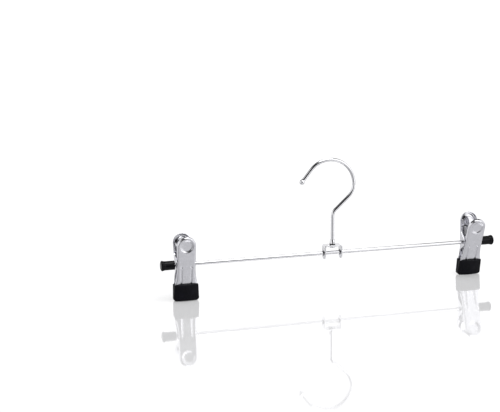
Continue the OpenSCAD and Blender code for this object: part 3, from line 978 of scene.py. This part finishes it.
def jaw_cover(side, half):
    """A rubber boot pushed over the jaw: bowed face, round lower corners, a pocket on top."""
    height = COVER_HEIGHT
    back = -JAW_GAP / 2
    face_columns = 21

    def half_width(down):
        width = COVER_TOP_HALF + (COVER_LOW_HALF - COVER_TOP_HALF) * down / height
        above_low = height - down
        if above_low < COVER_CORNER:
            width -= COVER_CORNER - math.sqrt(COVER_CORNER**2 - (COVER_CORNER - above_low) ** 2)
        return width

    def face_y(x, down):
        bow = COVER_PLAN_RADIUS - math.sqrt(COVER_PLAN_RADIUS**2 - x * x)
        return SHOULDER_Y - COVER_WALL + bow + down * math.tan(COVER_LEAN)

    def ring(down, width, front_inset, back_inset):
        soft = COVER_SIDE_FRONT
        edge = width - soft
        loop = [(x, face_y(x, down) + front_inset) for x in spread(-edge, edge, face_columns)]
        side_y = loop[-1][1] + soft
        low_y = back - back_inset
        loop += arc((edge, side_y), soft, -math.pi / 2, 0.0, 6)[1:]
        corner = min(COVER_SIDE_BACK, max(0.05, (low_y - side_y) * 0.45))
        loop += arc((width - corner, low_y - corner), corner, 0.0, math.pi / 2, 5)
        right = loop[face_columns:]
        loop += [(x, low_y) for x in spread(width - corner, corner - width, 13)[1:-1]]
        loop += [(-x, y) for x, y in right[::-1]]
        return [Vector((x, y, SHOULDER_Z - down)) for x, y in loop]

    rings = []
    for down, inset in ((0.0, COVER_TOP_ROUND), (0.06, 0.28), (0.18, 0.13), (0.36, 0.03), (0.6, 0.0)):
        rings.append(ring(down, half_width(down) - inset, inset, inset * 0.7))
    for down in spread(1.5, height - COVER_CORNER, 10):
        rings.append(ring(down, half_width(down), 0.0, 0.0))
    for angle in spread(0.0, math.pi / 2, 11)[1:]:
        down = height - COVER_CORNER * (1 - math.sin(angle))
        rest = max(0.0, 1.0 - (height - down))
        front_inset = COVER_LOW_ROUND * (1 - math.sqrt(max(0.0, 1 - rest**2)))
        rings.append(ring(down, half_width(down), front_inset, front_inset * 0.5))

    # Pocket: from the top's inner edge down round the tongue
    slot_half, slot_front, slot_back = TONGUE_HALF + POCKET_PLAY, -POCKET_PLAY, PLATE_SHEET + POCKET_PLAY
    top = rings[0]
    top_half = half_width(0.0) - COVER_TOP_ROUND

    def pocket(down):
        loop = []
        for p in top:
            front_y = face_y(min(max(p.x, -top_half), top_half), 0.0) + COVER_TOP_ROUND
            depth = min(max((p.y - front_y) / (back - front_y), 0.0), 1.0)
            share = smoothstep(0.35, 0.65, depth)
            x = p.x * slot_half / top_half
            y = SHOULDER_Y + slot_front + (slot_back - slot_front) * share + down * math.tan(COVER_LEAN)
            loop.append(Vector((x, y, SHOULDER_Z - down)))
        return loop

    rings = [pocket(TONGUE_LENGTH), pocket(TONGUE_LENGTH * 0.5), pocket(0.15), pocket(0.0)] + rings
    count = len(top)
    points = [p for r in rings for p in r]
    faces = [list(range(count)), [len(points) - count + i for i in range(count)]]
    for k in range(len(rings) - 1):
        for i in range(count):
            j = (i + 1) % count
            faces.append([k * count + i, k * count + j, (k + 1) * count + j, (k + 1) * count + i])
    name = f"{SIDE_NAMES[side]}_{half}_cover"
    piece = piece_object(name, points, faces, clip_place(side, half))
    face_outwards(piece)
    harden(piece, sharp=SOFT_EDGE)
    dress(piece, BOOT_RUBBER, name, f"{SIDE_NAMES[side]}_{half}_jaw")


def clip_spring(side):
    """The torsion spring round the bar, whose legs rest inside the two plates."""
    coil = BAR_RADIUS + COIL_GAP + SPRING_RADIUS
    leg_out = PIVOT_Y - PLATE_SHEET - PAD_DEPTH - LEG_GAP - SPRING_RADIUS
    reach = math.hypot(leg_out, LEG_UP)
    lean = PLATE_LEAN + math.atan(leg_out / LEG_UP) - math.asin(coil / reach)
    leg = math.sqrt(reach**2 - coil**2)
    sweep = math.pi - 2 * lean + 2 * math.pi * SPRING_TURNS
    length = SPRING_PITCH * sweep / (2 * math.pi)
    steps = 160

    def leg_point(end, run):
        y = -end * (coil * math.cos(lean) + run * math.sin(lean))
        return Vector((end * length / 2, y, run * math.cos(lean) - coil * math.sin(lean)))

    tip = [SPRING_RADIUS * (1 - math.cos(a)) for a in spread(0.15, math.pi / 2, 5)]
    down_leg = [leg - t for t in tip] + spread(leg - 1.2, 0.6, 14)
    line = [leg_point(LEFT, s) for s in down_leg]
    ups = [Vector((0, math.cos(lean), -math.sin(lean)))] * len(line)
    for i in range(steps + 1):
        angle = -lean - sweep * i / steps
        line.append(Vector((length * (i / steps - 0.5), coil * math.cos(angle), coil * math.sin(angle))))
        ups.append(Vector((0, math.cos(angle), math.sin(angle))))
    line += [leg_point(RIGHT, s) for s in down_leg[::-1]]
    ups += [Vector((0, -math.cos(lean), -math.sin(lean)))] * len(down_leg)
    radii = [SPRING_RADIUS] * len(line)
    for k, t in enumerate(tip):
        radii[k] = radii[-1 - k] = math.sqrt(max(0.01, SPRING_RADIUS**2 - (SPRING_RADIUS - t) ** 2))
    name = SIDE_NAMES[side] + "_spring"
    place = clip_place(side, FRONT)
    piece = swept(name, line, ups, radii, sides=14, place=place)
    harden(piece, sharp=SOFT_EDGE)
    dress(piece, SPRING_STEEL, name, None)
    middle = Vector((side * CLIP_X, 0, -BAR_DROP))
    start, end = (MM * (middle + Vector((s * length / 2, 0, 0))) for s in (LEFT, RIGHT))
    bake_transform(piece)


hook_wire()
swivel_collar()
bracket()
bar()
for hanger_side in (LEFT, RIGHT):
    end_cap(hanger_side)
    for clip_half in (FRONT, REAR):
        clip_plate(hanger_side, clip_half)
        jaw_cover(hanger_side, clip_half)
    clip_spring(hanger_side)


# ---- Floor, light and camera ----


# How strongly the floor glows to the camera, which just brings it to white
FLOOR_GLOW = 0.285


def floor():
    """A pale glossy floor under the covers, white to the camera and with soft shadows."""
    material = bpy.data.materials.new("pale_floor")
    material.use_nodes = True
    finish = Finish(material.node_tree)
    place = finish.add("ShaderNodeTexCoord").out("Object")
    cloud = finish.noise(place, 2.0, 2.0)
    coat = {
        "Base Color": finish.blend_colours(cloud, grey(0.62, 0.02), grey(0.65, 0.02)),
        "Roughness": 0.05,
        "IOR": 1.8,
        "Coat Weight": 1.0,
        "Coat IOR": 1.8,
        "Coat Roughness": 0.03,
    }
    lacquer = finish.add("ShaderNodeBsdfPrincipled", {}, coat)
    seen = finish.add("ShaderNodeLightPath").out("Is Camera Ray")
    glow = finish.add("ShaderNodeEmission", {}, {"Color": grey(1.0), "Strength": seen * FLOOR_GLOW})
    both = finish.add("ShaderNodeAddShader", {}, {0: lacquer, 1: glow})
    finish.add("ShaderNodeOutputMaterial", {}, {"Surface": both})
    low = cad_box[0].z / MM
    reach = 9000.0
    corners = [(-reach, -reach, low), (reach, -reach, low), (reach, reach, low), (-reach, reach, low)]
    piece = piece_object("floor", corners, [[0, 1, 2, 3]])
    piece.data.materials.append(material)


LAMP_AIM = Vector((0.0, 0.0, -0.08))


def softbox(name, place, size, watts):
    """A rectangular lamp that points at the middle of the bar."""
    data = bpy.data.lights.new(name, "AREA")
    data.shape = "RECTANGLE"
    data.size, data.size_y = size
    data.energy = watts
    lamp = bpy.data.objects.new(name, data)
    lamp.location = place
    lamp.rotation_euler = (LAMP_AIM - lamp.location).to_track_quat("-Z", "Y").to_euler()
    bpy.context.scene.collection.objects.link(lamp)


# Where the dark zones of the light lie: a slanting band in front, as its middle and the
# directions along and across it, and a spot above it on the left
BAND_MIDDLE = (-0.2273, -0.9118, 0.3420)
BAND_ALONG = (-0.6387, 0.4048, 0.6544)
BAND_ACROSS = (0.7351, 0.0697, 0.6744)
BAND_SHIFT = 0.04
SPOT_MIDDLE = (-0.3596, -0.3018, 0.8829)

# From where to where a zone fades in or out, as shares of those directions or of up and back
BAND_SIDES = (0.41, 0.21)
BAND_ENDS = (0.72, 0.52)
BAND_FRONT = (0.1, 0.4)
SPOT_EDGE = (0.90, 0.975)
BACK_LOW = (0.45, 0.58)
BACK_HIGH = (0.96, 0.90)
BACK_SIDE = (0.0, 0.15)

# How much of the light each zone swallows
BAND_DARK, SPOT_DARK, BACK_DARK = 0.98, 0.95, 0.93


def studio_light():
    """Even white light from all round, with dark zones that the chrome mirrors.

    They are the band, the spot and a zone high up at the back, and the camera sees none."""
    world = bpy.data.worlds.new("studio")
    bpy.context.scene.world = world
    world.use_nodes = True
    finish = Finish(world.node_tree)
    direction = finish.add("ShaderNodeTexCoord").out("Generated")
    parts = finish.parts(direction)
    up, back = parts.out("Z"), parts.out("Y")

    def share(axis):
        return finish.vector("DOT_PRODUCT", direction, axis).out("Value")

    band = finish.smooth(abs(share(BAND_ACROSS) + BAND_SHIFT), *BAND_SIDES)
    band = band * finish.smooth(abs(share(BAND_ALONG)), *BAND_ENDS)
    band = band * finish.smooth(share(BAND_MIDDLE), *BAND_FRONT)
    spot = finish.smooth(share(SPOT_MIDDLE), *SPOT_EDGE)
    dark_back = finish.smooth(up, *BACK_LOW) * finish.smooth(up, *BACK_HIGH)
    dark_back = dark_back * finish.smooth(back, *BACK_SIDE)
    seen = finish.add("ShaderNodeLightPath").out("Is Camera Ray")
    level = (1.0 - band * BAND_DARK) * (1.0 - spot * SPOT_DARK) * (1.0 - dark_back * BACK_DARK)
    strength = seen + (1.0 - seen) * level
    sky = finish.add("ShaderNodeBackground", {}, {"Color": grey(1.0), "Strength": strength})
    finish.add("ShaderNodeOutputWorld", {}, {"Surface": sky})

    softbox("softbox_above", (0.15, -0.35, 1.7), (1.2, 0.8), 14.0)
    softbox("softbox_right", (1.20, -1.45, 0.70), (1.4, 1.4), 5.0)


def aimed_camera():
    """The photograph's camera, worked out from the hanger's own proportions.

    The first three numbers place it round the bar's middle, the next three aim it, and its
    focal length is in pixels."""
    azimuth, elevation, distance = math.radians(19.65), math.radians(14.80), 1.1485
    yaw, pitch, roll, focal = math.radians(15.93), math.radians(12.77), math.radians(-0.33), 1303.8
    data = bpy.data.cameras.new("camera")
    data.sensor_width = 36.0
    data.lens = focal * data.sensor_width / IMAGE_WIDTH
    camera = bpy.data.objects.new("camera", data)
    bpy.context.scene.collection.objects.link(camera)
    camera.location = (
        -distance * math.sin(azimuth) * math.cos(elevation),
        -distance * math.cos(azimuth) * math.cos(elevation),
        distance * math.sin(elevation) - BAR_DROP * MM,
    )
    forward = Vector((math.sin(yaw) * math.cos(pitch), math.cos(yaw) * math.cos(pitch), -math.sin(pitch)))
    across = forward.cross(Vector((0, 0, 1))).normalized()
    up = across.cross(forward)
    right = across * math.cos(roll) + up * math.sin(roll)
    above = up * math.cos(roll) - across * math.sin(roll)
    camera.rotation_euler = Matrix((right, above, -forward)).transposed().to_euler()
    bpy.context.scene.camera = camera


floor()
studio_light()
aimed_camera()
bpy.context.scene.view_settings.view_transform = "Standard"
